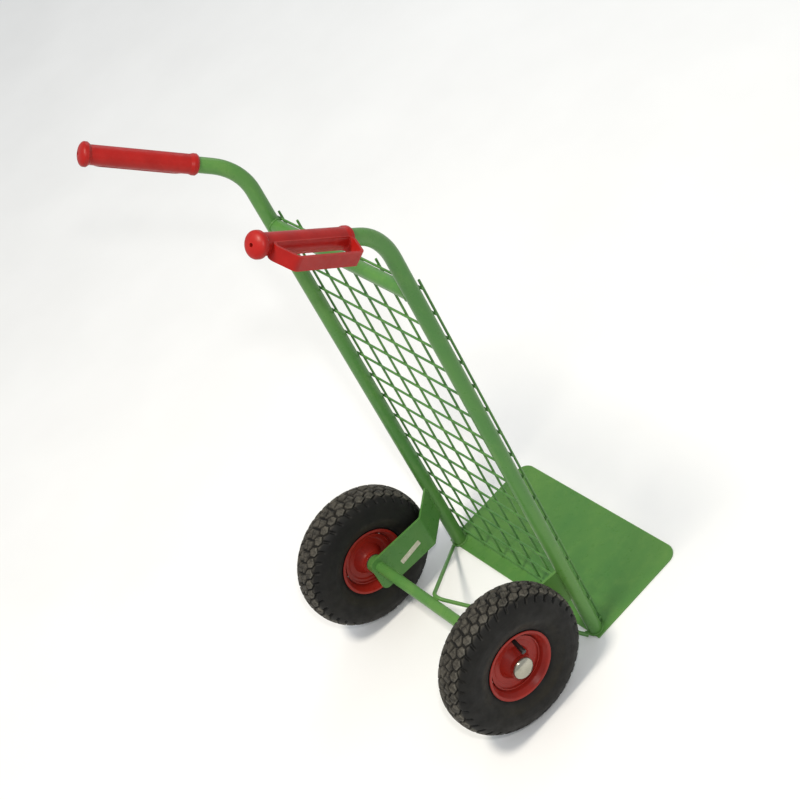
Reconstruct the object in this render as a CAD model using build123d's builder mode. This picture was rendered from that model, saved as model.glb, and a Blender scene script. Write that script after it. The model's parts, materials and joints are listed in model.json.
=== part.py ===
"""Two-wheeled garden cart: a welded tube frame with a mesh back, a flat toe plate and two pneumatic wheels.

Frame: +X is the operator's right, +Y points forward over the toe plate, +Z is up. The origin lies on the
underside of the toe plate, directly below the centre lines of the two side tubes, so the floor is Z = 0.
The side tubes lean slightly forward. Positions on the welded frame are given as (x, forward, along), where
along runs up the tubes and forward is square to them.
"""

from build123d import *
from math import cos, radians, sin, tan
import os

# ---------------------------------------------------------------- driving dimensions (mm, degrees)
FRAME_LEAN = 4.2              # forward lean of the side tubes

PLATE_WIDTH = 412.0
PLATE_REAR = 10.0             # distance of the rear edge behind the tube centre line
PLATE_FRONT = 192.0           # distance of the front edge ahead of it
PLATE_THICKNESS = 3.0
PLATE_CORNER = 24.0

TUBE_SPACING = 376.0          # centre to centre
TUBE_RADIUS = 12.5
TUBE_WALL = 1.75
TUBE_STRAIGHT = 841.0         # foot to the start of the handle bend
BEND_RADIUS = 95.0
BEND_ANGLE = 50.4             # turn from the upright to the handle
HANDLE_SPLAY = 17.7           # each handle turns outwards by this much
HANDLE_LENGTH = 184.0         # end of the bend to the end of the tube

CROSS_BAR_HEIGHT = 772.0
CROSS_BAR_RADIUS = 11.0
CROSS_BAR_WALL = 1.5

WIRE_RADIUS = 2.0
UPRIGHT_WIRES = 8
UPRIGHT_WIRE_PITCH = 53.4
UPRIGHT_WIRE_TOP = 784.0
CROSS_WIRES = 16
CROSS_WIRE_PITCH = 50.4
CROSS_WIRE_FIRST = 17.5
CROSS_WIRE_OVERHANG = 5.0
WELD_GAP = 0.05               # hairline left between welded round faces

WHEEL_SPACING = 414.0         # between the wheels' middle planes
WHEEL_RADIUS = 130.0
AXLE_SETBACK = 152.6
AXLE_RADIUS = 10.0
TYRE_HALF_WIDTH = 38.0
TYRE_SQUARENESS = 2.4         # exponent of the tread half of the section: 2 is an ellipse
TYRE_WALL = 6.0
TREAD_THICKNESS = 11.0
BEAD_POINTS = ((10.2, 50.1), (19.3, 53.7), (26.6, 58.8), (26.9, 62.5))    # foot of the tyre, laid on the rim
SIDE_RADIUS = 90.0            # radius at which the tyre is widest
BEAD_TOE = 13.0
INNER_TUBE_HALF_WIDTH = 28.0
INNER_TUBE_HALF_HEIGHT = 31.5
INNER_TUBE_WALL = 2.5

RIM_FLANGE_RADIUS = 62.0
RIM_HALF_WIDTH = 29.0
RIM_SHEET = 2.0
FLANGE_HEIGHT = 3.0           # upright part of the flange under its lip
BARREL_RADIUS = 49.0          # middle of the sheet in the flat bottom of the barrel
BARREL_HALF_WIDTH = 11.0
SEAT = (20.0, 52.5)           # where the bead seat turns up into the flange
DISC_X = 11.0                 # distance of the disc's middle from the wheel's middle plane
DISC_BOSS_X = 27.0
DISC_BOSS_RADIUS = 29.0
DISC_SLEEVE = 3.0
DISC_STEP = 1.5
DISC_STEP_RADIUS = 38.0
DISC_EDGE = 4.0
DISC_BEND = 1.2
VALVE_TURN = 28.0             # forward of straight up
VALVE_BEND_RADIUS = 43.9      # distance of the stem's bend from the axle
VALVE_TIP = (40.0, 33.0)      # of the cap's end: from the wheel's middle plane and from the axle
VALVE_RADIUS = 3.8
VALVE_CAP_RADIUS = 4.4
VALVE_CAP_LENGTH = 13.0
HUB_LENGTH = 64.0
HUB_RADIUS = 18.0
BEARING_RADIUS = 16.0
BEARING_WIDTH = 7.0
BALL_RADIUS = 1.75
BALL_CIRCLE = 13.0
BALL_COUNT = 11
BEARING_INSET = 1.0
RACE_GAP = 2.0
FIT = 0.02                    # pressed or pushed fits inside one body
RUNNING_FIT = 0.05

BRACKET_STRIP = 70.0          # width of the strip
BRACKET_SHEET = 4.0
BRACKET_INNER_FACE = 155.0    # distance of the lower leaf from the middle of the cart
BRACKET_BOTTOM = 66.0
BRACKET_FOLD = -54.0
BRACKET_REAR = -177.0
BRACKET_RISE = 23.0           # the upper leaf climbs this much on its way to the tube
BRACKET_CORNER = 13.0
COLLAR_RADIUS = 16.0
LABEL_SIZE = (48.0, 10.0, 0.5)
LABEL_TILT = 9.6

STAY_RADIUS = 3.5
STAY_BEND = 20.0
STAY_FOOT_HEIGHT = 4.0
STAY_TOUCH_ANGLE = 30.0       # where on the axle the stay's bend lies, above the forward direction

CAP_RADIUS = 19.0
CAP_HEIGHT = 9.5
WASHER_RADIUS = 15.0
WASHER_THICKNESS = 1.5

GRIP_START = 24.0             # from the end of the handle bend
GRIP_RADIUS = 15.3
GRIP_FLANGE_RADIUS = 16.8
GRIP_END_RADIUS = 19.0
GRIP_END_MIDDLE = 198.0
GRIP_LENGTH_END = 207.0
GUARD_ANGLE = 30.0            # below the outward direction
GUARD_REACH = 49.0
GUARD_ROOT = 8.0              # the band starts inside the grip's wall
GUARD_NEAR = (26.0, 42.0)     # along the handle: where the near arm starts and where it meets the outer run
GUARD_FAR = (165.0, 193.0)    # where the outer run meets the far arm and where that arm ends
GUARD_BAND = 4.0
GUARD_WIDTH = 22.0
GUARD_CORNER = 10.0
VENT_RADIUS = 3.0

# ---------------------------------------------------------------- derived directions and points
RIGHT = Vector(1, 0, 0)
UP = Vector(0, sin(radians(FRAME_LEAN)), cos(radians(FRAME_LEAN)))
FORWARD = Vector(0, cos(radians(FRAME_LEAN)), -sin(radians(FRAME_LEAN)))
FOOT = Vector(0, 0, PLATE_THICKNESS)
TUBE_X = TUBE_SPACING / 2
WHEEL_X = WHEEL_SPACING / 2
HUB_END = HUB_LENGTH / 2
AXLE_CENTRE = Vector(0, -AXLE_SETBACK, WHEEL_RADIUS)
AXLE_FORWARD = (AXLE_CENTRE - FOOT).dot(FORWARD)
AXLE_ALONG = (AXLE_CENTRE - FOOT).dot(UP)


def on_frame(x, forward, along):
    """The point at x, this far forward of the tubes and this far up along them."""
    return FOOT + RIGHT * x + FORWARD * forward + UP * along


def level_plane(along):
    """The plane square to the tubes at a height, with sketch axes +X and forward."""
    return Plane(origin=on_frame(0, 0, along), x_dir=RIGHT, z_dir=UP)


def side_plane(x):
    """The plane square to X, with sketch axes forward and up along the tubes."""
    return Plane(origin=on_frame(x, 0, 0), x_dir=FORWARD, z_dir=RIGHT)


def wheel_radial(turn):
    """The direction out from the axle, this many degrees forward of straight up."""
    return Vector(0, sin(radians(turn)), cos(radians(turn)))


def wheel_point(distance, radius, turn):
    """The point of the right wheel this far out from its middle plane, at a radius and a turn."""
    return AXLE_CENTRE + RIGHT * (WHEEL_X + distance) + wheel_radial(turn) * radius


def wheel_plane(turn=0.0):
    """A plane through the right wheel's axis, with sketch axes +X from its middle plane and the radius."""
    return Plane(origin=AXLE_CENTRE + RIGHT * WHEEL_X, x_dir=RIGHT, z_dir=RIGHT.cross(wheel_radial(turn)))


def wheel_face(distance):
    """The plane square to the right wheel's axis, this far out from its middle plane."""
    return Plane(origin=wheel_point(distance, 0, 0), z_dir=RIGHT)


WHEEL_AXIS = Axis(AXLE_CENTRE, RIGHT)
FLOOR = Plane(origin=FOOT)


def save(piece, name):
    """Labels a finished piece and writes it to parts/."""
    piece.part.label = name
    export_step(piece.part, f"parts/{name}.step")


def save_pair(piece, name, first="right", second="left"):
    """Writes a piece and its mirror image on the other side of the cart."""
    save(piece, f"{name}_{first}")
    with BuildPart() as twin:
        mirror(piece.part, about=Plane.YZ)
    save(twin, f"{name}_{second}")


os.makedirs("parts", exist_ok=True)

# ---------------------------------------------------------------- side tubes with the handles
HANDLE_BACK = RIGHT * sin(radians(HANDLE_SPLAY)) - FORWARD * cos(radians(HANDLE_SPLAY))
HANDLE_DIRECTION = HANDLE_BACK * sin(radians(BEND_ANGLE)) + UP * cos(radians(BEND_ANGLE))


def bend_point(angle):
    """A point on the right tube's centre line, this far round the handle bend."""
    turn = radians(angle)
    return (on_frame(TUBE_X, 0, TUBE_STRAIGHT) + HANDLE_BACK * (BEND_RADIUS * (1 - cos(turn)))
            + UP * (BEND_RADIUS * sin(turn)))


BEND_END = bend_point(BEND_ANGLE)
TUBE_END = BEND_END + HANDLE_DIRECTION * HANDLE_LENGTH

with BuildPart() as side_tube:
    with BuildLine() as tube_path:
        Line(on_frame(TUBE_X, 0, -TUBE_WALL), bend_point(0))
        ThreePointArc(bend_point(0), bend_point(BEND_ANGLE / 2), BEND_END)
        Line(BEND_END, TUBE_END)
    with BuildSketch(level_plane(-TUBE_WALL)) as tube_section:
        with Locations((TUBE_X, 0)):
            Circle(TUBE_RADIUS)
            Circle(TUBE_RADIUS - TUBE_WALL, mode=Mode.SUBTRACT)
    sweep(path=tube_path.wires()[0])
    split(bisect_by=FLOOR, keep=Keep.TOP)
save_pair(side_tube, "side_tube")

# ---------------------------------------------------------------- upper cross bar, coped to the tubes
with BuildPart() as upper_cross_bar:
    with BuildSketch(side_plane(-TUBE_X)):
        with Locations((0, CROSS_BAR_HEIGHT)):
            Circle(CROSS_BAR_RADIUS)
            Circle(CROSS_BAR_RADIUS - CROSS_BAR_WALL, mode=Mode.SUBTRACT)
    extrude(amount=TUBE_SPACING)
    with BuildSketch(level_plane(CROSS_BAR_HEIGHT - 2 * TUBE_RADIUS)):
        with Locations((-TUBE_X, 0), (TUBE_X, 0)):
            Circle(TUBE_RADIUS + WELD_GAP)
    extrude(amount=4 * TUBE_RADIUS, mode=Mode.SUBTRACT)
save(upper_cross_bar, "upper_cross_bar")

# ---------------------------------------------------------------- toe plate
with BuildPart() as toe_plate:
    with BuildSketch():
        with Locations((0, (PLATE_FRONT - PLATE_REAR) / 2)):
            Rectangle(PLATE_WIDTH, PLATE_FRONT + PLATE_REAR)
        fillet(vertices().group_by(Axis.Y)[-1], radius=PLATE_CORNER)
    extrude(amount=PLATE_THICKNESS)
save(toe_plate, "toe_plate")

# ---------------------------------------------------------------- mesh back
CROSS_WIRE_FORWARD = TUBE_RADIUS + WIRE_RADIUS + WELD_GAP
UPRIGHT_WIRE_FORWARD = CROSS_WIRE_FORWARD + 2 * WIRE_RADIUS + WELD_GAP
MESH_HALF_WIDTH = UPRIGHT_WIRE_PITCH * (UPRIGHT_WIRES - 1) / 2

with BuildPart() as mesh_upright_wires:
    with BuildSketch(level_plane(0)):
        with Locations((0, UPRIGHT_WIRE_FORWARD)):
            with GridLocations(UPRIGHT_WIRE_PITCH, 0, UPRIGHT_WIRES, 1):
                Circle(WIRE_RADIUS)
    extrude(amount=UPRIGHT_WIRE_TOP)
    split(bisect_by=FLOOR, keep=Keep.TOP)
save(mesh_upright_wires, "mesh_upright_wires")

CROSS_WIRE_END = MESH_HALF_WIDTH + WIRE_RADIUS + CROSS_WIRE_OVERHANG
with BuildPart() as mesh_cross_wires:
    with BuildSketch(side_plane(-CROSS_WIRE_END)):
        with Locations([(CROSS_WIRE_FORWARD, CROSS_WIRE_FIRST + CROSS_WIRE_PITCH * row)
                        for row in range(CROSS_WIRES)]):
            Circle(WIRE_RADIUS)
    extrude(amount=2 * CROSS_WIRE_END)
save(mesh_cross_wires, "mesh_cross_wires")

# ---------------------------------------------------------------- folded axle brackets
LEAF_X = BRACKET_INNER_FACE + BRACKET_SHEET / 2
TUBE_LEAF_END = (TUBE_X - 6, -8)
with BuildPart() as axle_bracket:
    with BuildSketch(level_plane(0)):
        with BuildLine():
            FilletPolyline((LEAF_X, BRACKET_REAR), (LEAF_X, BRACKET_FOLD), TUBE_LEAF_END,
                           radius=2 * BRACKET_SHEET)
        trace(line_width=BRACKET_SHEET)
    extrude(amount=BRACKET_BOTTOM + BRACKET_STRIP + BRACKET_RISE)
    with BuildSketch(side_plane(0)):
        with BuildLine():
            Polyline(
                (BRACKET_REAR, BRACKET_BOTTOM),
                (BRACKET_FOLD, BRACKET_BOTTOM),
                (TUBE_LEAF_END[1], BRACKET_BOTTOM + BRACKET_RISE),
                (TUBE_LEAF_END[1], BRACKET_BOTTOM + BRACKET_RISE + BRACKET_STRIP),
                (BRACKET_FOLD, BRACKET_BOTTOM + BRACKET_STRIP),
                (BRACKET_REAR, BRACKET_BOTTOM + BRACKET_STRIP),
                close=True,
            )
        make_face()
        fillet(vertices().group_by(Axis.X)[0], radius=BRACKET_CORNER)
        with Locations((AXLE_FORWARD, AXLE_ALONG)):
            Circle(AXLE_RADIUS + FIT, mode=Mode.SUBTRACT)
    extrude(amount=TUBE_X, mode=Mode.INTERSECT)
    with BuildSketch(level_plane(0)):
        with Locations((TUBE_X, 0)):
            Circle(TUBE_RADIUS + WELD_GAP)
    extrude(amount=TUBE_STRAIGHT, mode=Mode.SUBTRACT)
save_pair(axle_bracket, "axle_bracket")

# ---------------------------------------------------------------- blank label on the left bracket
LABEL_CENTRE = (-101.0, 93.0)
with BuildPart() as bracket_label:
    with BuildSketch(side_plane(-BRACKET_INNER_FACE + FIT)):
        with Locations(Location(LABEL_CENTRE, (0, 0, LABEL_TILT))):
            RectangleRounded(LABEL_SIZE[0], LABEL_SIZE[1], 1.5)
    extrude(amount=LABEL_SIZE[2])
save(bracket_label, "bracket_label")

# ---------------------------------------------------------------- axle, collars, washers and caps
WASHER_INNER_X = HUB_END + RUNNING_FIT
WASHER_OUTER_X = WASHER_INNER_X + WASHER_THICKNESS
CAP_X = WASHER_OUTER_X + FIT
AXLE_END = CAP_X + CAP_HEIGHT / 2


def ring_profile(inner, outer, start, stop):
    """A rectangle from one radius to another, between two distances from the wheel's middle plane."""
    with Locations(((start + stop) / 2, (inner + outer) / 2)):
        Rectangle(stop - start, outer - inner)


with BuildPart() as axle:
    with BuildSketch(Plane(origin=AXLE_CENTRE - RIGHT * (WHEEL_X + AXLE_END), z_dir=RIGHT)):
        Circle(AXLE_RADIUS)
    extrude(amount=2 * (WHEEL_X + AXLE_END))
    chamfer(axle.edges().filter_by(GeomType.CIRCLE), length=1)
save(axle, "axle")

with BuildPart() as spacer_collar:
    with BuildSketch(wheel_plane()):
        ring_profile(AXLE_RADIUS + FIT, COLLAR_RADIUS,
                     BRACKET_INNER_FACE + BRACKET_SHEET + FIT - WHEEL_X, -WASHER_OUTER_X - FIT)
    revolve(axis=WHEEL_AXIS)
    chamfer(spacer_collar.edges().filter_by(GeomType.CIRCLE).group_by(SortBy.RADIUS)[-1], length=0.8)
save_pair(spacer_collar, "spacer_collar")

with BuildPart() as hub_washers:
    with BuildSketch(wheel_plane()):
        ring_profile(AXLE_RADIUS + FIT, WASHER_RADIUS, WASHER_INNER_X, WASHER_OUTER_X)
        ring_profile(AXLE_RADIUS + FIT, WASHER_RADIUS, -WASHER_OUTER_X, -WASHER_INNER_X)
    revolve(axis=WHEEL_AXIS)
save_pair(hub_washers, "hub_washers")

with BuildPart() as axle_cap:
    with BuildSketch(wheel_plane()):
        with BuildLine():
            base = CAP_X + 2
            Line((CAP_X, AXLE_RADIUS + FIT), (CAP_X, CAP_RADIUS - 0.6))
            Line((CAP_X, CAP_RADIUS - 0.6), (CAP_X + 0.6, CAP_RADIUS))
            Line((CAP_X + 0.6, CAP_RADIUS), (base, CAP_RADIUS))
            EllipticalCenterArc((base, 0), CAP_HEIGHT - 2, CAP_RADIUS, start_angle=0, arc_size=90)
            Line((CAP_X + CAP_HEIGHT, 0), (AXLE_END + FIT, 0))
            Line((AXLE_END + FIT, 0), (AXLE_END + FIT, AXLE_RADIUS + FIT))
            Line((AXLE_END + FIT, AXLE_RADIUS + FIT), (CAP_X, AXLE_RADIUS + FIT))
        make_face()
    revolve(axis=WHEEL_AXIS)
save_pair(axle_cap, "axle_cap")

# ---------------------------------------------------------------- V-shaped stay rod
touch = radians(STAY_TOUCH_ANGLE)
touch_reach = AXLE_RADIUS + STAY_RADIUS + WELD_GAP
stay_tip = AXLE_CENTRE + (FORWARD * cos(touch) + UP * sin(touch)) * touch_reach
stay_foot_middle = Vector(0, -(TUBE_RADIUS + STAY_RADIUS + WELD_GAP), STAY_FOOT_HEIGHT)
stay_run = stay_tip - stay_foot_middle
half_angle = radians(RIGHT.get_angle(RIGHT * TUBE_X + stay_run))
corner_recess = STAY_BEND * (1 / cos(half_angle) - 1)
stay_corner = stay_tip + stay_run.normalized() * corner_recess
stay_foot = stay_foot_middle + RIGHT * TUBE_X

with BuildPart() as stay_rod:
    with BuildLine() as stay_path:
        FilletPolyline(stay_foot - RIGHT * TUBE_SPACING, stay_corner, stay_foot, radius=STAY_BEND)
    with BuildSketch(Plane(origin=stay_path.wires()[0] @ 0, z_dir=stay_path.wires()[0] % 0)):
        Circle(STAY_RADIUS)
    sweep(path=stay_path.wires()[0])
save(stay_rod, "stay_rod")

# ---------------------------------------------------------------- grips with knuckle guards
handle_out = HANDLE_DIRECTION.cross(UP).normalized()
handle_out = handle_out if handle_out.X > 0 else -handle_out
handle_down = HANDLE_DIRECTION.cross(handle_out).normalized()
handle_down = handle_down if handle_down.Z < 0 else -handle_down
guard_turn = radians(GUARD_ANGLE)
GUARD_DIRECTION = handle_out * cos(guard_turn) + handle_down * sin(guard_turn)
GRIP_PLANE = Plane(origin=BEND_END, x_dir=GUARD_DIRECTION, z_dir=GUARD_DIRECTION.cross(HANDLE_DIRECTION))
GRIP_AXIS = Axis(BEND_END, HANDLE_DIRECTION)
BORE_RADIUS = TUBE_RADIUS + FIT
BORE_END = HANDLE_LENGTH + FIT

with BuildPart() as grip:
    with BuildSketch(GRIP_PLANE):
        with BuildLine():
            Polyline(
                (0, GRIP_START),
                (TUBE_RADIUS + 2, GRIP_START),
                (GRIP_FLANGE_RADIUS, GRIP_START + 3),
                (GRIP_FLANGE_RADIUS, GRIP_START + 8),
                (GRIP_RADIUS, GRIP_START + 13),
                (GRIP_RADIUS, GRIP_END_MIDDLE - 9),
                (GRIP_END_RADIUS, GRIP_END_MIDDLE - 4),
                (GRIP_END_RADIUS, GRIP_END_MIDDLE),
            )
            EllipticalCenterArc((0, GRIP_END_MIDDLE), GRIP_END_RADIUS, GRIP_LENGTH_END - GRIP_END_MIDDLE,
                                start_angle=0, arc_size=90)
            Line((0, GRIP_LENGTH_END), (0, GRIP_START))
        make_face()
    revolve(axis=GRIP_AXIS)
    with BuildSketch(GRIP_PLANE):
        with BuildLine():
            FilletPolyline(
                (GUARD_ROOT, GUARD_NEAR[0]),
                (GUARD_REACH, GUARD_NEAR[1]),
                (GUARD_REACH, GUARD_FAR[0]),
                (GUARD_ROOT, GUARD_FAR[1]),
                radius=GUARD_CORNER,
                close=True,
            )
        make_face()
        offset(amount=-GUARD_BAND, mode=Mode.SUBTRACT)
    extrude(amount=GUARD_WIDTH / 2, both=True)
    with BuildSketch(GRIP_PLANE):
        with BuildLine():
            Polyline((0, 0), (BORE_RADIUS, 0), (BORE_RADIUS, BORE_END), (VENT_RADIUS, BORE_END),
                     (VENT_RADIUS, GRIP_LENGTH_END), (0, GRIP_LENGTH_END), close=True)
        make_face()
    revolve(axis=GRIP_AXIS, mode=Mode.SUBTRACT)
save_pair(grip, "grip")

# ---------------------------------------------------------------- wheel: tyre and inner tube
TYRE_BORE = BARREL_RADIUS + RIM_SHEET / 2 + 0.1


def tyre_side(half_width, crown, bead):
    """The right half of a tyre section: sidewall up from the bead, then shoulder and tread to the crown."""
    rise = crown - SIDE_RADIUS
    shoulder = [(half_width * cos(radians(turn)) ** (2 / TYRE_SQUARENESS),
                 SIDE_RADIUS + rise * sin(radians(turn)) ** (2 / TYRE_SQUARENESS)) for turn in range(0, 91, 10)]
    sidewall = Spline(bead, shoulder[0], tangents=((1, 1.6), (0, 1)))
    tread = Spline(*shoulder, tangents=((0, 1), (-1, 0)))
    return sidewall, tread


with BuildPart() as tyre:
    with BuildSketch(wheel_plane()):
        with BuildLine():
            bead = Polyline((0, TYRE_BORE), *BEAD_POINTS)
            tyre_side(TYRE_HALF_WIDTH, WHEEL_RADIUS, bead @ 1)
            Line((0, WHEEL_RADIUS), bead @ 0)
        make_face()
        with BuildLine():
            toe = Line((0, TYRE_BORE), (BEAD_TOE, TYRE_BORE))
            tyre_side(TYRE_HALF_WIDTH - TYRE_WALL, WHEEL_RADIUS - TREAD_THICKNESS, toe @ 1)
            Line((0, WHEEL_RADIUS - TREAD_THICKNESS), toe @ 0)
        make_face(mode=Mode.SUBTRACT)
        mirror(about=Plane.YZ)
    revolve(axis=WHEEL_AXIS)
save_pair(tyre, "tyre")

with BuildPart() as inner_tube:
    with BuildSketch(wheel_plane()):
        with Locations((0, (TYRE_BORE + WHEEL_RADIUS - TREAD_THICKNESS) / 2)):
            Ellipse(INNER_TUBE_HALF_WIDTH, INNER_TUBE_HALF_HEIGHT)
            Ellipse(INNER_TUBE_HALF_WIDTH - INNER_TUBE_WALL, INNER_TUBE_HALF_HEIGHT - INNER_TUBE_WALL,
                    mode=Mode.SUBTRACT)
    revolve(axis=WHEEL_AXIS)
save_pair(inner_tube, "inner_tube")

# ---------------------------------------------------------------- wheel: rim barrel and pressed discs
LIP_X = RIM_HALF_WIDTH - RIM_SHEET / 2
LIP_RADIUS = RIM_FLANGE_RADIUS - RIM_SHEET / 2

with BuildPart() as rim_barrel:
    with BuildSketch(wheel_plane()):
        with BuildLine():
            FilletPolyline(
                (-LIP_X, LIP_RADIUS),
                (-LIP_X, LIP_RADIUS - FLANGE_HEIGHT),
                (-SEAT[0], SEAT[1]),
                (-BARREL_HALF_WIDTH, BARREL_RADIUS),
                (BARREL_HALF_WIDTH, BARREL_RADIUS),
                SEAT,
                (LIP_X, LIP_RADIUS - FLANGE_HEIGHT),
                (LIP_X, LIP_RADIUS),
                radius=RIM_SHEET,
            )
        trace(line_width=RIM_SHEET)
        with Locations((-LIP_X, LIP_RADIUS), (LIP_X, LIP_RADIUS)):
            Circle(RIM_SHEET / 2)
    revolve(axis=WHEEL_AXIS)
    with BuildSketch(Plane(origin=AXLE_CENTRE + RIGHT * WHEEL_X, z_dir=wheel_radial(VALVE_TURN))):
        Circle(VALVE_RADIUS + FIT)
    extrude(amount=RIM_FLANGE_RADIUS, mode=Mode.SUBTRACT)
save_pair(rim_barrel, "rim_barrel")

valve_bend = wheel_point(0, VALVE_BEND_RADIUS, VALVE_TURN)
valve_tip = wheel_point(*VALVE_TIP, VALVE_TURN)
valve_direction = (valve_tip - valve_bend).normalized()
valve_cap_base = valve_tip - valve_direction * VALVE_CAP_LENGTH

DISC_EDGE_RADIUS = BARREL_RADIUS - RIM_SHEET - WELD_GAP
DISC_SLEEVE_RADIUS = HUB_RADIUS + RIM_SHEET / 2 + WELD_GAP


def disc_points(side):
    """Middle line of a pressed disc: hub sleeve, conical boss, shallow step and the edge turned outwards."""
    return [
        (side * (DISC_BOSS_X + DISC_SLEEVE), DISC_SLEEVE_RADIUS),
        (side * DISC_BOSS_X, DISC_SLEEVE_RADIUS),
        (side * DISC_X, DISC_BOSS_RADIUS),
        (side * DISC_X, DISC_STEP_RADIUS),
        (side * (DISC_X + DISC_STEP), DISC_STEP_RADIUS + 2 * DISC_STEP),
        (side * (DISC_X + DISC_STEP), DISC_EDGE_RADIUS),
        (side * (DISC_X + DISC_STEP + DISC_EDGE), DISC_EDGE_RADIUS),
    ]


with BuildPart() as wheel_disc_outer:
    with BuildSketch(wheel_plane()):
        with BuildLine():
            FilletPolyline(*disc_points(1), radius=DISC_BEND)
        trace(line_width=RIM_SHEET)
    revolve(axis=WHEEL_AXIS)
    with BuildSketch(Plane(origin=valve_bend, z_dir=valve_direction)):
        Circle(VALVE_RADIUS + FIT)
    extrude(amount=RIM_HALF_WIDTH, mode=Mode.SUBTRACT)
save_pair(wheel_disc_outer, "wheel_disc_outer")

with BuildPart() as wheel_disc_inner:
    with BuildSketch(wheel_plane()):
        with BuildLine():
            FilletPolyline(*disc_points(-1), radius=DISC_BEND)
        trace(line_width=RIM_SHEET)
    revolve(axis=WHEEL_AXIS)
save_pair(wheel_disc_inner, "wheel_disc_inner")

# ---------------------------------------------------------------- wheel: bent valve stem and its cap
with BuildPart() as valve_stem:
    with BuildLine() as valve_path:
        FilletPolyline(wheel_point(0, TYRE_BORE, VALVE_TURN), valve_bend,
                       valve_cap_base - valve_direction * FIT, radius=1.8 * VALVE_RADIUS)
    with BuildSketch(Plane(origin=valve_path.wires()[0] @ 0, z_dir=valve_path.wires()[0] % 0)):
        Circle(VALVE_RADIUS)
    sweep(path=valve_path.wires()[0])
save_pair(valve_stem, "valve_stem")

with BuildPart() as valve_cap:
    with BuildSketch(Plane(origin=valve_cap_base, z_dir=valve_direction)):
        Circle(VALVE_CAP_RADIUS)
    extrude(amount=VALVE_CAP_LENGTH)
    fillet(valve_cap.edges().filter_by(GeomType.CIRCLE).sort_by(Axis.X)[-1], radius=1)
save_pair(valve_cap, "valve_cap")

# ---------------------------------------------------------------- wheel: hub and bearings
with BuildPart() as hub_tube:
    with BuildSketch(wheel_plane()):
        ring_profile(BEARING_RADIUS + FIT, HUB_RADIUS, -HUB_END, HUB_END)
    revolve(axis=WHEEL_AXIS)
save_pair(hub_tube, "hub_tube")

BEARING_MIDDLE = HUB_END - BEARING_INSET - BEARING_WIDTH / 2
BEARING_MIDDLES = (-BEARING_MIDDLE, BEARING_MIDDLE)


def race_profiles(inner, outer):
    """Sections of two bearing rings, with the groove that the balls run in."""
    for middle in BEARING_MIDDLES:
        ring_profile(inner, outer, middle - BEARING_WIDTH / 2, middle + BEARING_WIDTH / 2)
    with Locations([(middle, BALL_CIRCLE) for middle in BEARING_MIDDLES]):
        Circle(BALL_RADIUS + RUNNING_FIT, mode=Mode.SUBTRACT)


with BuildPart() as bearing_outer_races:
    with BuildSketch(wheel_plane()):
        race_profiles(BALL_CIRCLE + RACE_GAP / 2, BEARING_RADIUS)
    revolve(axis=WHEEL_AXIS)
save_pair(bearing_outer_races, "bearing_outer_races")

with BuildPart() as bearing_inner_races:
    with BuildSketch(wheel_plane()):
        race_profiles(AXLE_RADIUS + FIT, BALL_CIRCLE - RACE_GAP / 2)
    revolve(axis=WHEEL_AXIS)
save_pair(bearing_inner_races, "bearing_inner_races")

with BuildPart() as bearing_balls:
    for middle in BEARING_MIDDLES:
        with Locations(wheel_face(middle)):
            with PolarLocations(BALL_CIRCLE, BALL_COUNT):
                Sphere(BALL_RADIUS)
save_pair(bearing_balls, "bearing_balls")
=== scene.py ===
"""The look of the garden cart: procedural paint, plastic and rubber, modelled tyres, and weld beads.

The sizes of tyres and welds are in millimetres, and MM turns them into metres. The camera and the lights
are placed in metres, and the scale of a noise is per metre.
"""

import json
from math import cos, pi, radians, sin, sqrt

import bpy
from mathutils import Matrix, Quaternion, Vector


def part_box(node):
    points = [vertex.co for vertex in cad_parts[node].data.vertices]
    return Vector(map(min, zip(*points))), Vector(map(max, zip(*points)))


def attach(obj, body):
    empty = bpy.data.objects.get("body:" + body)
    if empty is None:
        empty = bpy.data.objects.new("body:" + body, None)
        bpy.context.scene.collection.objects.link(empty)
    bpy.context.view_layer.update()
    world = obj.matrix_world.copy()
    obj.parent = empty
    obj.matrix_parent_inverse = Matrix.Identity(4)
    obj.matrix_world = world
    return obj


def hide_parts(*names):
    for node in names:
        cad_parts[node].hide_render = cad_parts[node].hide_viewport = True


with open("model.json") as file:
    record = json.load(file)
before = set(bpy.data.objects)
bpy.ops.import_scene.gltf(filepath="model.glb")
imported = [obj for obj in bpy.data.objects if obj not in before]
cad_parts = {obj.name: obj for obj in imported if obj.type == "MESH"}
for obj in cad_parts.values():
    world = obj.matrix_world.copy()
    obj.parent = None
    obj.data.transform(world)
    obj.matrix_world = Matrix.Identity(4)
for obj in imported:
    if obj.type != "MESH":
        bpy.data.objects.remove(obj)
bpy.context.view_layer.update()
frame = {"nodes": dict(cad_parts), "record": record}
MM = 0.001
SIDES = {"right": 1, "left": -1}

# ---------------------------------------------------------------- camera, as the photograph was taken
CAMERA_POSITION = Vector((2.166, -0.617, 2.323))
CAMERA_AIM = Vector((0.0, 0.006, 0.4958))
CAMERA_ROLL = radians(-35.25)
CAMERA_LENS = 83.1
SENSOR_WIDTH = 36

camera_data = bpy.data.cameras.new("camera")
camera_data.lens = CAMERA_LENS
camera_data.sensor_width = SENSOR_WIDTH
camera = bpy.data.objects.new("camera", camera_data)
camera.location = CAMERA_POSITION
camera.rotation_mode = "QUATERNION"
look = (CAMERA_AIM - CAMERA_POSITION).to_track_quat("-Z", "Y")
camera.rotation_quaternion = look @ Quaternion((0, 0, 1), CAMERA_ROLL)
bpy.context.scene.collection.objects.link(camera)
bpy.context.scene.camera = camera
CAMERA_RIGHT = camera.rotation_quaternion @ Vector((1, 0, 0))
CAMERA_UP = camera.rotation_quaternion @ Vector((0, 1, 0))

# ---------------------------------------------------------------- light
WORLD_COLOUR = (0.94, 0.97, 1.0, 1)
WORLD_STRENGTH = 0.60

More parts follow.
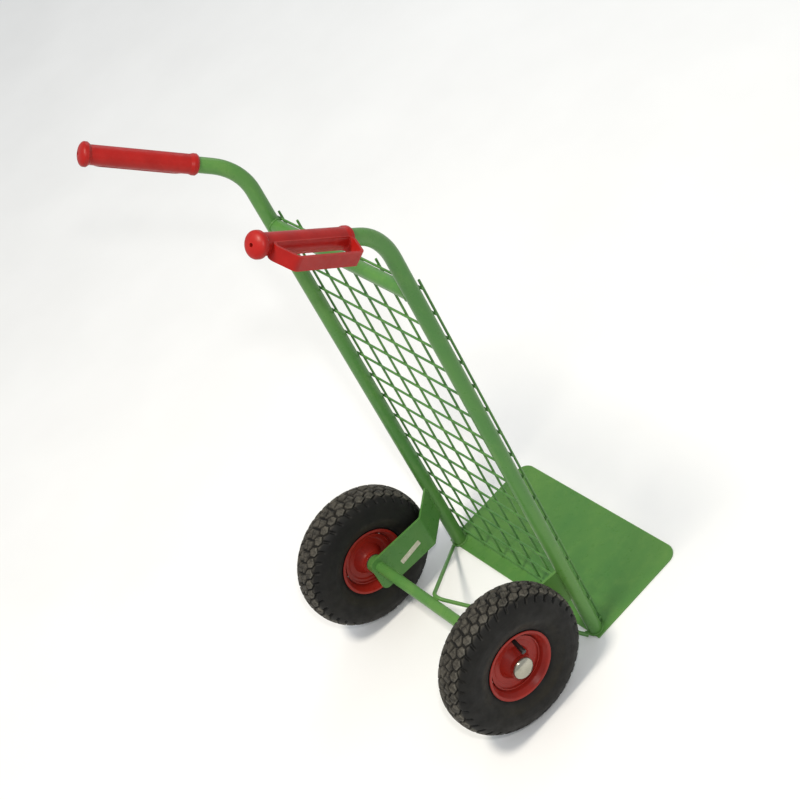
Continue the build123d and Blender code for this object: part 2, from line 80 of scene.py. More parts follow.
world = bpy.data.worlds.new("studio")
world.use_nodes = True
world.node_tree.nodes["Background"].inputs["Color"].default_value = WORLD_COLOUR
world.node_tree.nodes["Background"].inputs["Strength"].default_value = WORLD_STRENGTH
bpy.context.scene.world = world
bpy.context.scene.view_settings.view_transform = "Standard"


def softbox(name, position, size, power, colour):
    """An area light aimed at the middle of the cart."""
    data = bpy.data.lights.new(name, "AREA")
    data.shape = "DISK"
    data.size = size
    data.energy = power
    data.color = colour
    light = bpy.data.objects.new(name, data)
    light.location = position
    light.rotation_euler = (CAMERA_AIM - position).to_track_quat("-Z", "Y").to_euler()
    bpy.context.scene.collection.objects.link(light)


softbox("key", position=CAMERA_POSITION - CAMERA_RIGHT * 2.1 + CAMERA_UP * 1.5, size=0.85, power=105,
        colour=(1.0, 0.93, 0.80))
softbox("flash", position=CAMERA_POSITION + CAMERA_UP * 0.25, size=0.12, power=20, colour=(1.0, 0.98, 0.95))
softbox("fill", position=Vector((-1.6, 2.6, 2.4)), size=2.2, power=16, colour=(0.86, 0.95, 1.0))


# ---------------------------------------------------------------- material helper
EDGE_START = 0.995            # cosine between a face and its rounded normal where an edge starts to show
EDGE_FULL = 0.90              # and where it shows in full


class Graph:
    """Builds one node material, with object coordinates in metres."""

    def __init__(self, name):
        self.material = bpy.data.materials.new(name)
        self.material.use_nodes = True
        self.tree = self.material.node_tree
        self.shader = self.tree.nodes["Principled BSDF"]
        self.coordinates = self.tree.nodes.new("ShaderNodeTexCoord").outputs["Object"]

    def node(self, kind, inputs=None, **settings):
        """Adds a node, with its settings as attributes and its inputs as values or links."""
        made = self.tree.nodes.new(kind)
        for key, value in settings.items():
            setattr(made, key, value)
        for key, value in (inputs or {}).items():
            self.feed(made.inputs[key], value)
        return made

    def feed(self, socket, value):
        """Links a socket to another one, or sets its value."""
        if isinstance(value, bpy.types.NodeSocket):
            self.tree.links.new(value, socket)
        else:
            socket.default_value = value

    def stretched(self, scale):
        """Object coordinates scaled differently along X, Y and Z."""
        return self.node("ShaderNodeMapping", {"Vector": self.coordinates, "Scale": scale}).outputs["Vector"]

    def noise(self, scale, detail=3.0, roughness=0.55, vector=None):
        coordinates = vector or self.coordinates
        inputs = {"Vector": coordinates, "Scale": scale, "Detail": detail, "Roughness": roughness}
        return self.node("ShaderNodeTexNoise", inputs).outputs["Fac"]

    def cells(self, scale):
        """The distance to the middle of the nearest random cell."""
        inputs = {"Vector": self.coordinates, "Scale": scale}
        return self.node("ShaderNodeTexVoronoi", inputs).outputs["Distance"]

    def range(self, value, low, high, to_low=0.0, to_high=1.0):
        """Maps low..high to to_low..to_high, and keeps the result inside."""
        inputs = {"Value": value, "From Min": low, "From Max": high, "To Min": to_low, "To Max": to_high}
        return self.node("ShaderNodeMapRange", inputs, clamp=True).outputs["Result"]

    def math(self, operation, a, b=0.0):
        return self.node("ShaderNodeMath", {0: a, 1: b}, operation=operation).outputs[0]

    def blend(self, factor, a, b):
        """Colour a where the factor is 0 and colour b where it is 1."""
        made = self.node("ShaderNodeMix", data_type="RGBA")
        self.feed(made.inputs[0], factor)
        self.feed(made.inputs[6], a if isinstance(a, bpy.types.NodeSocket) else (*a, 1))
        self.feed(made.inputs[7], b if isinstance(b, bpy.types.NodeSocket) else (*b, 1))
        return made.outputs[2]

    def edges(self, radius):
        """Near 1 along sharp edges and 0 on open faces."""
        rounded = self.node("ShaderNodeBevel", {"Radius": radius}, samples=4).outputs["Normal"]
        flat = self.node("ShaderNodeNewGeometry").outputs["Normal"]
        facing = self.node("ShaderNodeVectorMath", {0: rounded, 1: flat}, operation="DOT_PRODUCT")
        return self.range(facing.outputs["Value"], EDGE_START, EDGE_FULL)

    def bump(self, height, distance, strength, under=None):
        """A normal bent by a height, over the normal of a coarser or finer bump."""
        inputs = {"Height": height, "Distance": distance, "Strength": strength}
        if under:
            inputs["Normal"] = under
        return self.node("ShaderNodeBump", inputs).outputs["Normal"]

    def finish(self, colour, roughness, normal=None, **fixed):
        """Connects the shader, and sets the values that are the same all over the surface."""
        self.feed(self.shader.inputs["Base Color"], colour)
        self.feed(self.shader.inputs["Roughness"], roughness)
        if normal:
            self.feed(self.shader.inputs["Normal"], normal)
        for key, value in fixed.items():
            self.shader.inputs[key.replace("_", " ")].default_value = value
        return self.material


# ---------------------------------------------------------------- painted metal
def paint(name, main, light, dark, edge, runs=(6.0, 4.0, 2.0), gloss=0.24):
    """Brushed-on gloss paint: cloudy colour, faint runs, thin light edges that are partly wear and partly
    painted highlight, dust specks and orange peel.
    """
    g = Graph(name)
    clouds = g.range(g.noise(1.0, 5.0, 0.6, g.stretched(runs)), 0.30, 0.72)
    colour = g.blend(clouds, dark, main)
    fine_runs = g.stretched(tuple(9 * value for value in runs))
    streaks = g.range(g.noise(1.0, 5.0, 0.7, fine_runs), 0.50, 0.78, 0.0, 0.35)
    colour = g.blend(streaks, colour, light)
    dust = g.range(g.noise(210.0, 6.0, 0.75), 0.58, 0.80, 0.0, 0.30)
    colour = g.blend(dust, colour, light)
    specks = g.range(g.cells(300.0), 0.10, 0.05, 0.0, 0.6)
    rare = g.range(g.noise(60.0, 2.0), 0.60, 0.68)
    colour = g.blend(g.math("MULTIPLY", specks, rare), colour, dark)
    # Lighter colour along sharp edges: paint worn thin there, and a painted highlight where the edges would
    # catch the light.
    edge_wear_and_highlight = g.math("MULTIPLY", g.edges(0.9 * MM), g.range(g.noise(90.0, 5.0, 0.7), 0.30, 0.62))
    colour = g.blend(g.math("MULTIPLY", edge_wear_and_highlight, 0.65), colour, edge)
    roughness = g.range(g.noise(70.0, 5.0, 0.65), 0.30, 0.72, gloss, gloss + 0.16)
    peel = g.bump(g.noise(620.0, 3.0, 0.5), 0.06 * MM, 0.45)
    waves = g.bump(g.noise(55.0, 2.0, 0.4), 0.30 * MM, 0.35, peel)
    return g.finish(colour, roughness, waves, Specular_IOR_Level=0.26)


# ---------------------------------------------------------------- moulded red plastic
def moulded_plastic():
    """Soft PVC: even colour with cloudy wear, fine grain and light edges that are partly scuffs and partly
    painted highlight.
    """
    g = Graph("red_plastic")
    clouds = g.range(g.noise(32.0, 5.0, 0.6), 0.32, 0.72)
    colour = g.blend(clouds, (0.285, 0.007, 0.005), (0.370, 0.011, 0.008))
    scuffs = g.range(g.noise(1.0, 6.0, 0.7, g.stretched((260.0, 60.0, 60.0))), 0.58, 0.80, 0.0, 0.4)
    colour = g.blend(scuffs, colour, (0.46, 0.045, 0.035))
    dirt = g.range(g.noise(120.0, 5.0, 0.7), 0.60, 0.80, 0.0, 0.35)
    colour = g.blend(dirt, colour, (0.16, 0.010, 0.009))
    # Lighter red along sharp edges: scuffing, and a painted highlight where the edges would catch the light.
    colour = g.blend(g.math("MULTIPLY", g.edges(1.0 * MM), 0.45), colour, (0.52, 0.060, 0.045))
    roughness = g.range(g.noise(85.0, 5.0), 0.30, 0.72, 0.30, 0.50)
    grain = g.bump(g.cells(900.0), 0.09 * MM, 0.5)
    surface = g.bump(g.noise(48.0, 3.0), 0.5 * MM, 0.35, grain)
    return g.finish(colour, roughness, surface, Specular_IOR_Level=0.24)


# ---------------------------------------------------------------- plated and ground steel
def plated(name, bright, dull, roughness_low, roughness_high, dent):
    """Zinc or ground steel: spangled brightness, fine scratches, stains and dents (depth in millimetres)."""
    g = Graph(name)
    spangle = g.range(g.noise(42.0, 4.0, 0.5), 0.32, 0.70)
    colour = g.blend(spangle, dull, bright)
    stain = g.range(g.noise(90.0, 5.0, 0.7), 0.60, 0.78, 0.0, 0.45)
    colour = g.blend(stain, colour, (0.33, 0.29, 0.22))
    scratches = g.noise(1.0, 4.0, 0.6, g.stretched((1400.0, 240.0, 90.0)))
    roughness = g.range(scratches, 0.30, 0.75, roughness_low, roughness_high)
    fine = g.bump(scratches, 0.05 * MM, 0.4)
    dented = g.bump(g.noise(46.0, 1.0, 0.3), dent * MM, 0.7, fine)
    return g.finish(colour, roughness, dented, Metallic=0.85)


# ---------------------------------------------------------------- rubber and small parts
def rubber(name, dark, light, roughness):
    """Plain moulded rubber with bloom and dust."""
    g = Graph(name)
    bloom = g.range(g.noise(45.0, 6.0, 0.65), 0.40, 0.72)
    colour = g.blend(bloom, dark, light)
    specks = g.range(g.noise(520.0, 3.0, 0.7), 0.60, 0.78, 0.0, 0.5)
    colour = g.blend(specks, colour, (0.10, 0.095, 0.08))
    grain = g.bump(g.noise(950.0, 3.0, 0.6), 0.08 * MM, 0.6)
    return g.finish(colour, g.range(bloom, 0.0, 1.0, roughness, roughness + 0.15), grain)


def tyre_rubber():
    """Near-black grooves, dusty grey-beige block tops, a painted highlight along the ridges by the outer
    zigzag and a satin sidewall with bloom.
    """
    g = Graph("tyre_rubber")
    tops = g.node("ShaderNodeAttribute", attribute_name="tread_top").outputs["Fac"]
    bands = g.node("ShaderNodeAttribute", attribute_name="sidewall_band").outputs["Fac"]
    ridge_highlights = g.node("ShaderNodeAttribute", attribute_name="painted_ridge_highlight").outputs["Fac"]
    bloom = g.range(g.noise(20.0, 6.0, 0.65), 0.38, 0.70)
    colour = g.blend(bloom, (0.0040, 0.0040, 0.0038), (0.0085, 0.0080, 0.0062))
    brown = g.math("MULTIPLY", bands, g.range(g.noise(11.0, 4.0, 0.6), 0.40, 0.68))
    colour = g.blend(g.math("MULTIPLY", brown, 0.8), colour, (0.024, 0.020, 0.011))
    dusty = g.math("MULTIPLY", tops, g.range(g.noise(85.0, 6.0, 0.7), 0.36, 0.66, 0.10, 0.90))
    colour = g.blend(dusty, colour, (0.098, 0.088, 0.070))
    grit = g.math("MULTIPLY", tops, g.range(g.noise(640.0, 4.0, 0.7), 0.56, 0.74, 0.0, 0.7))
    colour = g.blend(grit, colour, (0.15, 0.135, 0.105))
    # Painted highlight: a light line on the block edges along the outer zigzag groove.
    ridge_highlight_mask = g.math("MULTIPLY", ridge_highlights, g.range(g.noise(70.0, 5.0, 0.7), 0.36, 0.62, 0.1, 0.85))
    colour = g.blend(ridge_highlight_mask, colour, (0.19, 0.18, 0.15))
    roughness = g.range(g.noise(60.0, 5.0), 0.30, 0.70, 0.50, 0.74)
    grain = g.bump(g.noise(850.0, 4.0, 0.65), 0.16 * MM, 0.6)
    lumps = g.bump(g.noise(110.0, 3.0), 0.35 * MM, 0.4, grain)
    return g.finish(colour, roughness, lumps, Specular_IOR_Level=0.25)


def sticker():
    """A blank weathered label: off-white with a yellowed cloud and lifted fibres."""
    g = Graph("label")
    aged = g.range(g.noise(140.0, 5.0, 0.65), 0.35, 0.70)
    colour = g.blend(aged, (0.62, 0.60, 0.50), (0.44, 0.42, 0.30))
    smudge = g.range(g.noise(320.0, 4.0, 0.7), 0.58, 0.74, 0.0, 0.6)
    colour = g.blend(smudge, colour, (0.22, 0.24, 0.16))
    fibres = g.bump(g.noise(700.0), 0.06 * MM, 0.6)
    return g.finish(colour, g.range(aged, 0.0, 1.0, 0.45, 0.65), fibres)


MATERIALS = {
    "green_paint": paint("green_paint", main=(0.108, 0.248, 0.052), light=(0.165, 0.310, 0.072),
                         dark=(0.060, 0.186, 0.044), edge=(0.230, 0.410, 0.130)),
    "green_wire": paint("green_wire", main=(0.090, 0.232, 0.050), light=(0.160, 0.310, 0.080),
                        dark=(0.048, 0.150, 0.040), edge=(0.200, 0.360, 0.120), runs=(24.0, 24.0, 9.0),
                        gloss=0.30),
    "red_paint": paint("red_paint", main=(0.310, 0.018, 0.010), light=(0.400, 0.032, 0.018),
                       dark=(0.225, 0.012, 0.008), edge=(0.460, 0.070, 0.050), runs=(22.0, 16.0, 16.0),
                       gloss=0.26),
    "red_plastic": moulded_plastic(),
    "zinc": plated("zinc", (0.46, 0.44, 0.37), (0.33, 0.32, 0.26), 0.16, 0.30, 3.0),
    "bearing_steel": plated("bearing_steel", (0.66, 0.66, 0.66), (0.48, 0.48, 0.48), 0.16, 0.34, 0.1),
    "tyre": tyre_rubber(),
    "tube_rubber": rubber("tube_rubber", (0.010, 0.010, 0.010), (0.028, 0.027, 0.025), 0.55),
    "valve_rubber": rubber("valve_rubber", (0.006, 0.006, 0.006), (0.016, 0.015, 0.014), 0.50),
    "black_plastic": rubber("black_plastic", (0.005, 0.005, 0.005), (0.014, 0.014, 0.013), 0.34),
    "label": sticker(),
}

for part in frame["record"]["subparts"]:
    mesh = frame["nodes"][part["node"]].data
    mesh.materials.clear()
    mesh.materials.append(MATERIALS[part["material_slot"]])


# ---------------------------------------------------------------- mesh helper
def new_piece(name, vertices, faces, slot, body):
    """Makes a smooth mesh object that rides on a CAD body and takes its finish from a slot."""
    mesh = bpy.data.meshes.new(name)
    mesh.from_pydata(vertices, [], faces)
    mesh.polygons.foreach_set("use_smooth", [True] * len(mesh.polygons))
    mesh.materials.append(MATERIALS[slot])
    piece = bpy.data.objects.new(name, mesh)
    bpy.context.scene.collection.objects.link(piece)
    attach(piece, body)
    return piece


# ---------------------------------------------------------------- tyres
TYRE_RADIUS = 130.0
TYRE_HALF_WIDTH = 38.0
TYRE_SIDE_RADIUS = 90.0       # radius at which the tyre is widest
TYRE_SQUARENESS = 2.4         # exponent of the section's outer half: 2 is an ellipse
LEAD_RADIUS = 78.0            # first handle of the curve from the widest point down to the bead
PULL = (31.0, 69.0)           # and its second handle
BEAD = ((10.2, 50.2), (14.8, 52.0), (19.3, 53.8), (23.0, 56.3), (26.6, 58.9), (26.9, 62.5))

PITCHES = 38                  # tread blocks round the tyre
PITCH_LENGTH = 2 * pi * TYRE_RADIUS / PITCHES
STEPS_PER_PITCH = 18
TREAD_STEPS = 36              # section points on one side of the tread
FINE_STEPS = 864              # points from which those of the section are picked
SIDEWALL_SPACING = 2.2        # between section points beyond the tread
LOWER_STEPS = 12

TREAD_END = 41.0              # distance from the crown at which the last groove has faded out
TREAD_FADE = 7.0
GROOVE_DEPTH = 4.4
GROOVE_SLOPE = 0.55           # half the width over which a groove's wall slopes
ROW_LINES = (12.0, 24.5)      # zigzag grooves on each side of the centre one
ZIGZAG = 2.7
ZIGZAG_HALF_WIDTH = 1.45
CROSS_HALF_WIDTH = 2.1
SHOULDER_HALF_WIDTH = 2.6
CUT_SLANT = 0.016             # share of a pitch that a cross cut leans, in each millimetre across
SIPE_HALF_WIDTH = 0.35        # fine slit in the middle of each block
SIPE_DEPTH = 0.45             # as a share of the groove depth
RIDGE_HIGHLIGHT_WIDTH = 1.5              # width of the painted highlight along the outer zigzag

SHOULDER_BLEND = 4            # half the width over which tread turns into sidewall
SIDEWALL_SINK = 0.35          # the sidewall between its rings lies this far inside the CAD tyre
# moulded rings on the sidewall: radius, half width, height
RINGS = ((66.5, 1.6, 0.7), (71.0, 0.7, 0.35), (84.0, 0.9, 0.30), (99.0, 0.8, 0.35), (103.0, 0.8, 0.35))
RING_LIMIT = 0.6
CROWN_MARGIN = 0.05           # the block tops stay this far inside the CAD tyre
DUST_FADE = (3, 6)            # the dust on the blocks fades from inside the outer row line to outside it
BAND_RADIUS = 76.0            # middle of the brown band on the sidewall
BAND_CORE = 3.0               # from the middle to where the brown starts to fade
BAND_EDGE = 12.0              # and to where it has gone


def smooth_step(value, low, high):
    """Runs smoothly from 0 at low to 1 at high."""
    share = min(max((value - low) / (high - low), 0.0), 1.0)
    return share * share * (3 - 2 * share)


def triangle_wave(phase):
    """Runs from 1 to -1 and back once in each unit of phase."""
    return 4 * abs(phase - int(phase // 1) - 0.5) - 1


def groove_at(distance, half_width):
    """1 in a groove and 0 outside it, at a distance from its centre line."""
    return 1 - smooth_step(distance, half_width - GROOVE_SLOPE, half_width + GROOVE_SLOPE)


def tread_groove(phase, across):
    """How deep the tread is cut, from 0 to 1, at a phase of the pitch and a distance from the crown."""
    out = abs(across)
    place = phase if across > 0 else phase + 0.5
    swing = ZIGZAG * triangle_wave(place)
    inner, outer = ROW_LINES[0] - swing, ROW_LINES[1] + swing
    cuts = [groove_at(abs(across - ZIGZAG * triangle_wave(phase)), ZIGZAG_HALF_WIDTH),
            groove_at(abs(out - inner), ZIGZAG_HALF_WIDTH),
            groove_at(abs(out - outer), ZIGZAG_HALF_WIDTH)]
    row_shift = 0.5 if inner < out < outer else 0.0
    half_width = SHOULDER_HALF_WIDTH if out > outer else CROSS_HALF_WIDTH
    slant = CUT_SLANT * (out - (inner + outer) / 2) * (1 if across > 0 else -1)
    to_line = abs((place + row_shift + slant + 0.5) % 1 - 0.5) * PITCH_LENGTH
    cuts.append(groove_at(to_line, half_width))
    if out < outer:
        to_sipe = abs((place + row_shift + slant) % 1 - 0.5) * PITCH_LENGTH
        cuts.append(SIPE_DEPTH * groove_at(to_sipe, SIPE_HALF_WIDTH))
    return max(cuts) * (1 - smooth_step(out, TREAD_END - TREAD_FADE, TREAD_END))


def ridge_highlight_share(phase, across):
    """How strongly the block edges beside the outer zigzag groove carry the painted highlight, from 0 to 1.
    """
    place = phase if across > 0 else phase + 0.5
    outer = ROW_LINES[1] + ZIGZAG * triangle_wave(place)
    from_ridge = abs(outer - abs(across) - ZIGZAG_HALF_WIDTH - RIDGE_HIGHLIGHT_WIDTH / 2)
    return 1 - smooth_step(from_ridge, 0.0, RIDGE_HIGHLIGHT_WIDTH)


def ring_height(radius):
    """Height of the moulded rings on the sidewall at a radius."""
    return sum(height * groove_at(abs(radius - middle), half_width) for middle, half_width, height in RINGS)


def between(a, b):
    """Distance between two places in the section."""
    return sqrt((a[0] - b[0]) ** 2 + (a[1] - b[1]) ** 2)


def upper_section():
    """Section points (x, radius, distance from the crown) from the crown to the widest point."""
    rise = TYRE_RADIUS - TYRE_SIDE_RADIUS
    power = 2 / TYRE_SQUARENESS
    fine = []
    for step in range(FINE_STEPS + 1):
        turn = radians(90) * step / FINE_STEPS
        fine.append((TYRE_HALF_WIDTH * sin(turn) ** power, TYRE_SIDE_RADIUS + rise * cos(turn) ** power))
    travelled = [0.0]
    for a, b in zip(fine, fine[1:]):
        travelled.append(travelled[-1] + between(a, b))
    tread_spacing = TREAD_END / TREAD_STEPS
    points = []
    for place, along in zip(fine, travelled):
        spacing = tread_spacing if along < TREAD_END + tread_spacing else SIDEWALL_SPACING
        if not points or along - points[-1][2] >= spacing:
            points.append((*place, along))
    return points, travelled[-1]


def lower_section():
    """Section places (x, radius) from below the widest point to the top of the bead."""
    handles = ((TYRE_HALF_WIDTH, TYRE_SIDE_RADIUS), (TYRE_HALF_WIDTH, LEAD_RADIUS), PULL, BEAD[-1])
    places = []
    for step in range(1, LOWER_STEPS + 1):
        t = step / LOWER_STEPS
        weights = ((1 - t) ** 3, 3 * (1 - t) ** 2 * t, 3 * (1 - t) * t ** 2, t ** 3)
        places.append(tuple(sum(weight * handle[axis] for weight, handle in zip(weights, handles))
                            for axis in (0, 1)))
    return places


def half_section():
    """Section points (x, radius, distance from the crown) from the crown to the bead, on the right side."""
    points, along = upper_section()
    for place in lower_section() + list(reversed(BEAD[:-1])):
        along += between(place, points[-1])
        points.append((*place, along))
    return points


def outward(points, index):
    """The outward unit normal of the section at a point."""
    a = points[max(index - 1, 0)]
    b = points[min(index + 1, len(points) - 1)]
    across, down = b[0] - a[0], b[1] - a[1]
    length = sqrt(across * across + down * down)
    return Vector((-down / length, across / length))


def whole_section():
    """The section (x, radius, distance from the crown, outward normal) from left bead to right bead."""
    half = half_section()
    normals = [Vector((0, 1))] + [outward(half, index) for index in range(1, len(half))]
    right = [(*point, normal) for point, normal in zip(half, normals)]
    left = [(-x, radius, -across, Vector((-normal.x, normal.y))) for x, radius, across, normal in right[1:]]
    return list(reversed(left)) + right


def ring_faces(rows, width, inside_out):
    """Quads of a surface closed both ways, made of rows of vertices."""
    faces = []
    for row in range(rows):
        here, there = row * width, (row + 1) % rows * width
        for k in range(width):
            after = (k + 1) % width
            quad = (here + k, here + after, there + after, there + k)
            faces.append(tuple(reversed(quad)) if inside_out else quad)
    return faces


def build_tyre(side_name, section):
    """Makes a treaded tyre in the place of the smooth CAD one."""
    side = SIDES[side_name]
    low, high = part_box("tyre_" + side_name)
    middle = (low + high) / 2
    around = PITCHES * STEPS_PER_PITCH
    dust_edge = (ROW_LINES[1] - DUST_FADE[0], ROW_LINES[1] + DUST_FADE[1])
    vertices, tops, bands, ridge_highlights = [], [], [], []
    for step in range(around):
        phase = step / STEPS_PER_PITCH
        turn = 2 * pi * step / around
        for x, radius, across, normal in section:
            cut = tread_groove(phase, across) if abs(across) < TREAD_END else 0.0
            sidewall = smooth_step(abs(across), TREAD_END - SHOULDER_BLEND, TREAD_END + SHOULDER_BLEND)
            ring_lift = min(ring_height(radius) * sidewall, RING_LIMIT)
            lift = ring_lift - GROOVE_DEPTH * cut - SIDEWALL_SINK * sidewall
            reach = min(radius + normal.y * lift, TYRE_RADIUS - CROWN_MARGIN)
            vertices.append((middle.x + side * (x + normal.x * lift) * MM,
                             middle.y + reach * sin(turn) * MM,
                             middle.z + reach * cos(turn) * MM))
            tops.append((1 - cut) * (1 - smooth_step(abs(across), *dust_edge)))
            # Painted highlight along the block edges by the outer zigzag.
            ridge_highlights.append((1 - cut) * ridge_highlight_share(phase, across))
            bands.append(sidewall * (1 - smooth_step(abs(radius - BAND_RADIUS), BAND_CORE, BAND_EDGE)))
    faces = ring_faces(around, len(section), inside_out=side > 0)
    piece = new_piece("tyre_treaded_" + side_name, vertices, faces, "tyre", "wheel_" + side_name)
    for name, values in (("tread_top", tops), ("sidewall_band", bands), ("painted_ridge_highlight", ridge_highlights)):
        layer = piece.data.attributes.new(name, "FLOAT", "POINT")
        layer.data.foreach_set("value", values)
    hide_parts("tyre_" + side_name)


tyre_section = whole_section()
for side_name in SIDES:
    build_tyre(side_name, tyre_section)

# ---------------------------------------------------------------- weld beads
LEAN = radians(4.2)
RIGHT = Vector((1, 0, 0))
UP = Vector((0, sin(LEAN), cos(LEAN)))
FORWARD = Vector((0, cos(LEAN), -sin(LEAN)))
PLATE_TOP = Vector((0, 0, 3.0))
AXLE_CENTRE = Vector((0, -152.6, 130.0))
TUBE_X = 188.0
TUBE_RADIUS = 12.5
BAR_RADIUS = 11.0
BAR_HEIGHT = 772.0
WIRE_X = [53.4 * (index - 3.5) for index in range(8)]
WIRE_HEIGHTS = [17.5 + 50.4 * row for row in range(16)]
CROSS_WIRE_FORWARD = 14.55
UPRIGHT_WIRE_FORWARD = 18.6

BEAD_SIDES = 10
BEAD_SPACING = 0.9
OFF_AXIS = Vector((0.31, 0.52, 0.79))       # a direction that no bead runs in
RIPPLE = 0.13                 # share of the radius by which the solidified ripples vary it
RIPPLE_TURN = 1.9             # radians of ripple from one ring of vertices to the next
SWELL = 0.09                  # slower change of the radius along the bead
SWELL_TURN = 0.43
SWELL_SHIFT = 7               # radians of swell in each millimetre of radius, so that beads differ
TAPER_START = 0.35            # share of the radius at an open end
TAPER_STEP = 0.4              # and what each ring of vertices from that end adds

BAR_WELD_RADIUS = 1.7
BAR_WELD_STEPS = 48
BAR_WELD_LIFT = 0.4           # the saddle lies this far off the bar and off the tube
FOOT_WELD_RADIUS = 1.7
FOOT_WELD_LIFT = 0.4
FOOT_WELD_OUT = 0.9
BRACKET_WELD_RADIUS = 1.5
BRACKET_WELD = (179.2, -9.6)  # across and forward
BRACKET_STITCHES = ((94, 112), (118, 132), (138, 154))
STAY_FOOT_WELD_RADIUS = 2.2
STAY_FOOT_INSET = 2           # from the tube's centre line
STAY_FOOT_PLACE = (-14.4, 6.0)
STAY_FOOT_BEND = ((-5, -1, 3), (0, 0, 0), (4, 1, -2))      # points of the bead, for the right side
STAY_TIP_WELD_RADIUS = 2.0
STAY_TIP_ANGLE = radians(30)
STAY_TIP_DISTANCE = 10.6      # from the axle's centre line
STAY_TIP_HALF_LENGTH = 7
END_WELD_RADIUS = 1.5         # where a cross wire meets a side tube
END_WELD_BACK = 1.6
END_WELD_HALF_LENGTH = 2.5
WIRE_FOOT_HEIGHT = 1.6
WIRE_FOOT_RING = 2.2
WIRE_FOOT_STEPS = 12
WIRE_FOOT_WELD_RADIUS = 0.9
NUGGET_RADIUS = 1.7           # where two wires cross
NUGGET_HALF_LENGTH = 1.4


def on_frame(x, forward, along):
    """The point at x, this far forward of the tubes and this far up along them."""
    return PLATE_TOP + Vector((x, 0, 0)) + FORWARD * forward + UP * along


def resampled(points):
    """Points at an even spacing along a polyline."""
    even = [points[0]]
    for a, b in zip(points, points[1:]):
        count = max(1, round((b - a).length / BEAD_SPACING))
        even += [a.lerp(b, step / count) for step in range(1, count + 1)]
    return even


def ring(centre, across, along, radius, steps=40):
    """Points round a circle, with two directions in its plane."""
    return [centre + (across * cos(2 * pi * step / steps) + along * sin(2 * pi * step / steps)) * radius
            for step in range(steps)]


def saddle(side):
    """The line where the cross bar meets a side tube."""
    line = []
    for step in range(BAR_WELD_STEPS):
        turn = 2 * pi * step / BAR_WELD_STEPS
        forward = (BAR_RADIUS + BAR_WELD_LIFT) * cos(turn)
        reach = TUBE_X - sqrt(TUBE_RADIUS ** 2 - forward ** 2) - BAR_WELD_LIFT
        line.append(on_frame(side * reach, forward, BAR_HEIGHT + (BAR_RADIUS + BAR_WELD_LIFT) * sin(turn)))
    return line


class Beads:
    """Gathers rippled weld beads into one mesh."""

    def __init__(self):
        self.vertices = []
        self.faces = []

    def run(self, points, radius, closed=False):
        """Adds a bead along a polyline, as a closed loop or with two capped ends."""
        line = resampled(points + [points[0]])[:-1] if closed else resampled(points)
        count = len(line)
        first = len(self.vertices)
        for index, point in enumerate(line):
            before = line[index - 1] if closed or index else point
            after = line[(index + 1) % count] if closed or index < count - 1 else point
            ahead = (after - before).normalized()
            side = ahead.cross(OFF_AXIS).normalized()
            top = ahead.cross(side)
            swell_phase = index * SWELL_TURN + radius * SWELL_SHIFT + point.x
            ripple = 1 + RIPPLE * sin(index * RIPPLE_TURN) + SWELL * sin(swell_phase)
            from_end = min(index, count - 1 - index)
            taper = 1.0 if closed else min(1.0, TAPER_START + TAPER_STEP * from_end)
            for k in range(BEAD_SIDES):
                turn = 2 * pi * k / BEAD_SIDES
                place = point + (side * cos(turn) + top * sin(turn)) * radius * ripple * taper
                self.vertices.append(place * MM)
        self.skin(first, count, closed)

    def skin(self, first, count, closed):
        """Adds the faces of a bead whose rings of vertices start at first."""
        for index in range(count if closed else count - 1):
            here, there = first + index * BEAD_SIDES, first + (index + 1) % count * BEAD_SIDES
            for k in range(BEAD_SIDES):
                after = (k + 1) % BEAD_SIDES
                self.faces.append((here + k, here + after, there + after, there + k))
        if not closed:
            self.faces.append(tuple(range(first + BEAD_SIDES - 1, first - 1, -1)))
            last = first + (count - 1) * BEAD_SIDES
            self.faces.append(tuple(range(last, last + BEAD_SIDES)))

    def piece(self, name):
        return new_piece(name, self.vertices, self.faces, "green_paint", "frame")


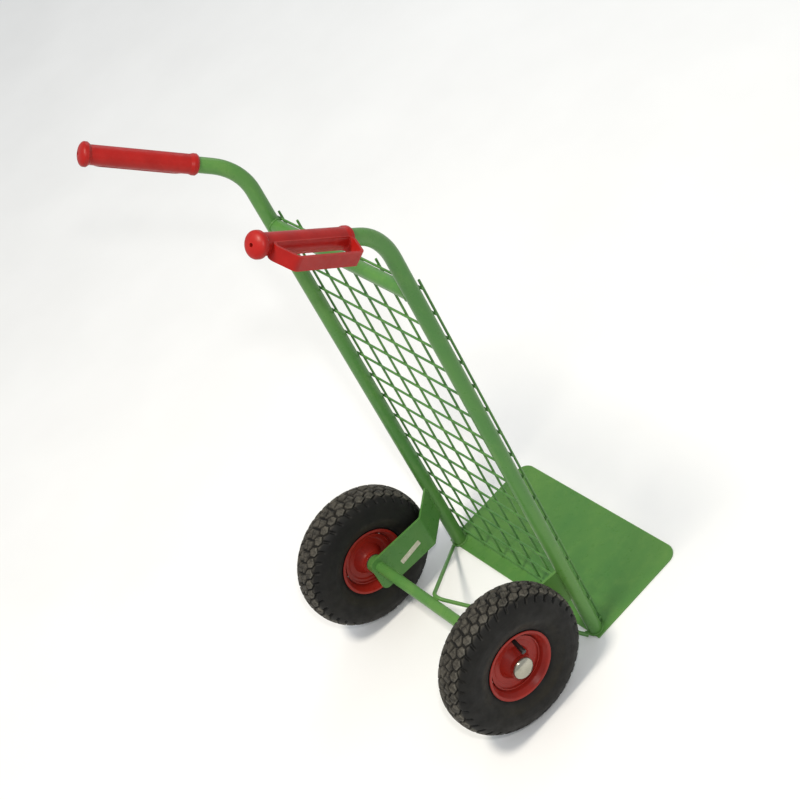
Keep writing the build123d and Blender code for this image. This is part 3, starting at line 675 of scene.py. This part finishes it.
bar_welds, foot_welds, bracket_welds, stay_welds, mesh_welds = (Beads() for _ in range(5))
for side in SIDES.values():
    bar_welds.run(saddle(side), BAR_WELD_RADIUS, closed=True)
    foot = PLATE_TOP + RIGHT * side * TUBE_X + Vector((0, 0, FOOT_WELD_LIFT))
    foot_ring = ring(foot, RIGHT, Vector((0, 1, 0)), TUBE_RADIUS + FOOT_WELD_OUT)
    foot_welds.run(foot_ring, FOOT_WELD_RADIUS, closed=True)
    for low, high in BRACKET_STITCHES:
        bracket_welds.run([on_frame(side * BRACKET_WELD[0], BRACKET_WELD[1], low),
                           on_frame(side * BRACKET_WELD[0], BRACKET_WELD[1], high)], BRACKET_WELD_RADIUS)
    stay_foot = Vector((side * (TUBE_X - STAY_FOOT_INSET), *STAY_FOOT_PLACE))
    stay_bead = [stay_foot + Vector((side * x, y, z)) for x, y, z in STAY_FOOT_BEND]
    stay_welds.run(stay_bead, STAY_FOOT_WELD_RADIUS)
    for height in WIRE_HEIGHTS:
        joint = on_frame(side * TUBE_X, CROSS_WIRE_FORWARD - END_WELD_BACK, height)
        reach = RIGHT * END_WELD_HALF_LENGTH
        mesh_welds.run([joint - reach, joint + reach], END_WELD_RADIUS)
stay_tip = AXLE_CENTRE + (FORWARD * cos(STAY_TIP_ANGLE) + UP * sin(STAY_TIP_ANGLE)) * STAY_TIP_DISTANCE
stay_reach = RIGHT * STAY_TIP_HALF_LENGTH
stay_welds.run([stay_tip - stay_reach, stay_tip + stay_reach], STAY_TIP_WELD_RADIUS)
for x in WIRE_X:
    wire_foot = on_frame(x, UPRIGHT_WIRE_FORWARD, WIRE_FOOT_HEIGHT)
    foot_ring = ring(wire_foot, RIGHT, FORWARD, WIRE_FOOT_RING, WIRE_FOOT_STEPS)
    mesh_welds.run(foot_ring, WIRE_FOOT_WELD_RADIUS, closed=True)
    for height in WIRE_HEIGHTS:
        nugget = on_frame(x, (CROSS_WIRE_FORWARD + UPRIGHT_WIRE_FORWARD) / 2, height)
        reach = UP * NUGGET_HALF_LENGTH
        mesh_welds.run([nugget - reach, nugget + reach], NUGGET_RADIUS)
bar_welds.piece("weld_cross_bar")
foot_welds.piece("weld_tube_feet")
bracket_welds.piece("weld_brackets")
stay_welds.piece("weld_stay_rod")
mesh_welds.piece("weld_mesh")

# ---------------------------------------------------------------- floor
FLOOR_SIZE = 30
FLOOR_ROUGHNESS = 0.9

bpy.ops.mesh.primitive_plane_add(size=FLOOR_SIZE, location=(0, 0, 0))
floor = bpy.context.object
floor.name = "floor"
floor_look = Graph("floor")
floor_tint = floor_look.range(floor_look.noise(3.0, 3.0), 0.3, 0.7)
floor_colour = floor_look.blend(floor_tint, (0.86, 0.86, 0.86), (0.90, 0.90, 0.90))
floor.data.materials.append(floor_look.finish(floor_colour, FLOOR_ROUGHNESS, Specular_IOR_Level=0.1))
